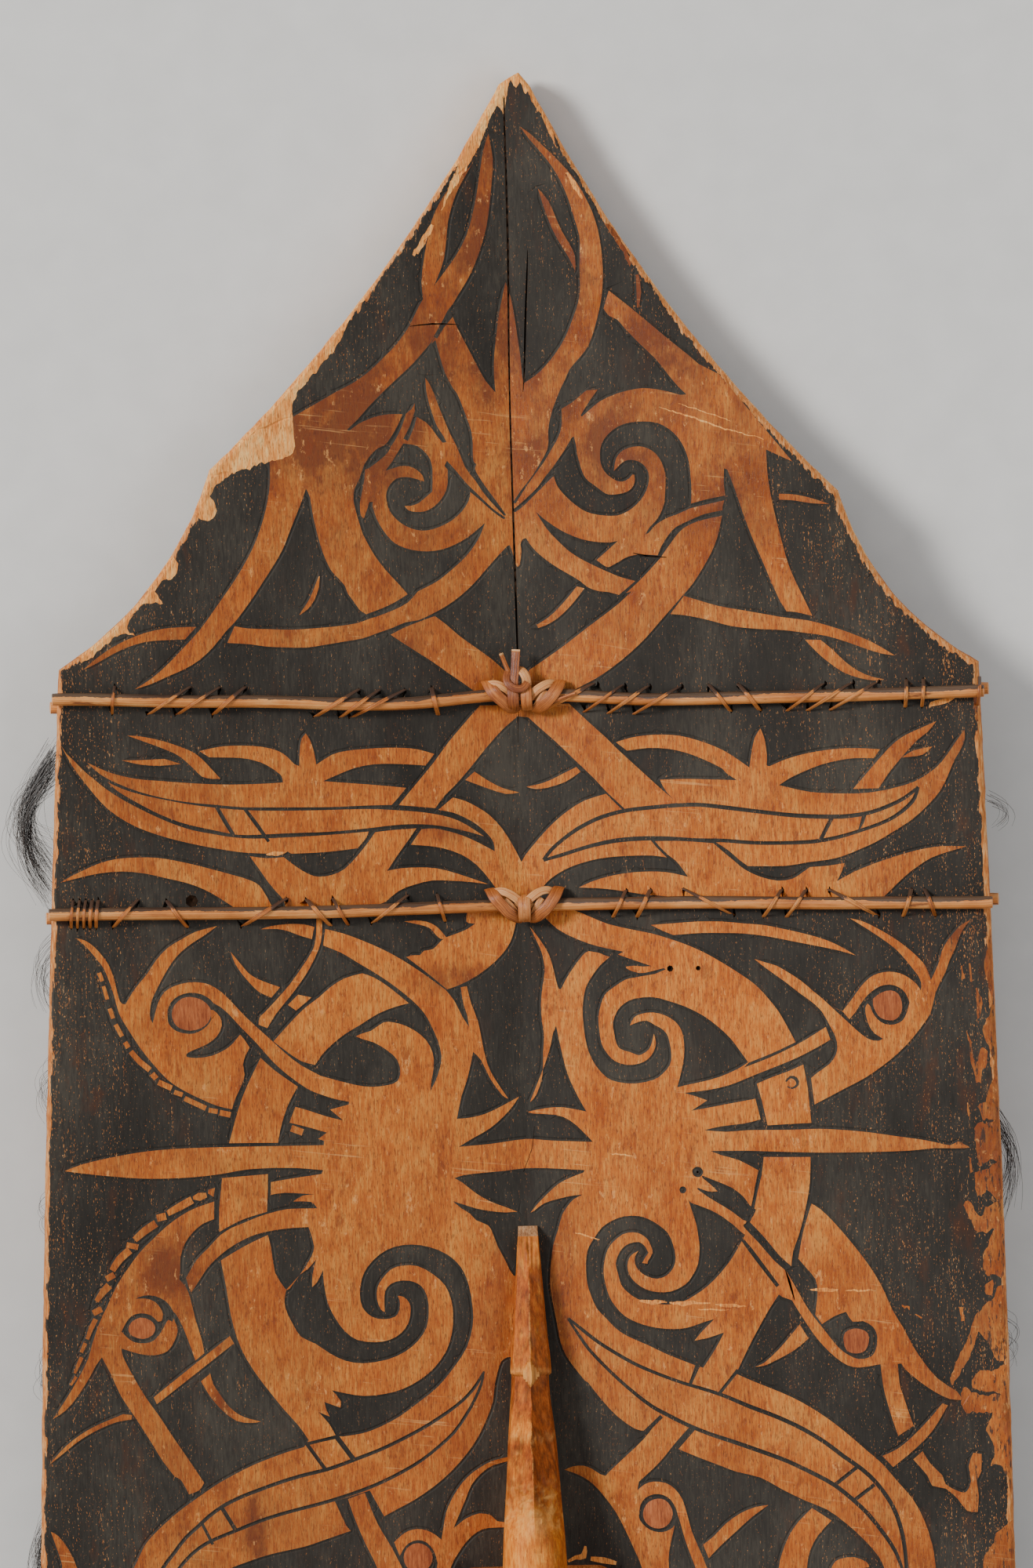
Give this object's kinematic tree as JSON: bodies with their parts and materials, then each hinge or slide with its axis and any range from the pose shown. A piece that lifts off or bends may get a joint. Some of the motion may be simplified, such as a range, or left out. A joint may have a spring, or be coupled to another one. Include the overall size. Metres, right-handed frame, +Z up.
{
  "type": "wooden war shield",
  "caption": "Long wooden parrying shield with a shallow V section, pointed ends, a carved handle over a finger hollow, and rattan canes laced across both faces.",
  "frame": {"origin": "middle of the shield's box in plan, at the level it lies on", "axes": "+X across the shield to the viewer's right as seen from the back, +Y along the shield towards the end the picture shows, +Z up, out of the back towards the holder"},
  "size_m": [0.3818, 1.2514, 0.0573],
  "materials": {
    "painted_wood": "old carved softwood, orange-brown, with worn matt black paint and bare pale edges",
    "black_paint": "matt soot-black paint on wood, worn thin over the pores",
    "rattan": "whole rattan cane, orange-tan, smooth and slightly waxy",
    "split_rattan": "split rattan strips, plaited, satin outside and matt inside",
    "hair": "dark hair tufts, dry and slightly glossy"
  },
  "bodies": {
    "root": {"board": "painted_wood", "handle": "painted_wood", "back_cane_upper_outer": "rattan", "back_cane_upper_inner": "rattan", "back_cane_lower_outer": "rattan", "back_cane_lower_inner": "rattan", "front_cane_upper_outer": "rattan", "front_cane_upper_inner": "rattan", "front_cane_lower_outer": "rattan", "front_cane_lower_inner": "rattan", "knot_upper_outer": "split_rattan", "knot_upper_inner": "split_rattan", "knot_lower_outer": "split_rattan", "knot_lower_inner": "split_rattan"}
  },
  "joints": []
}
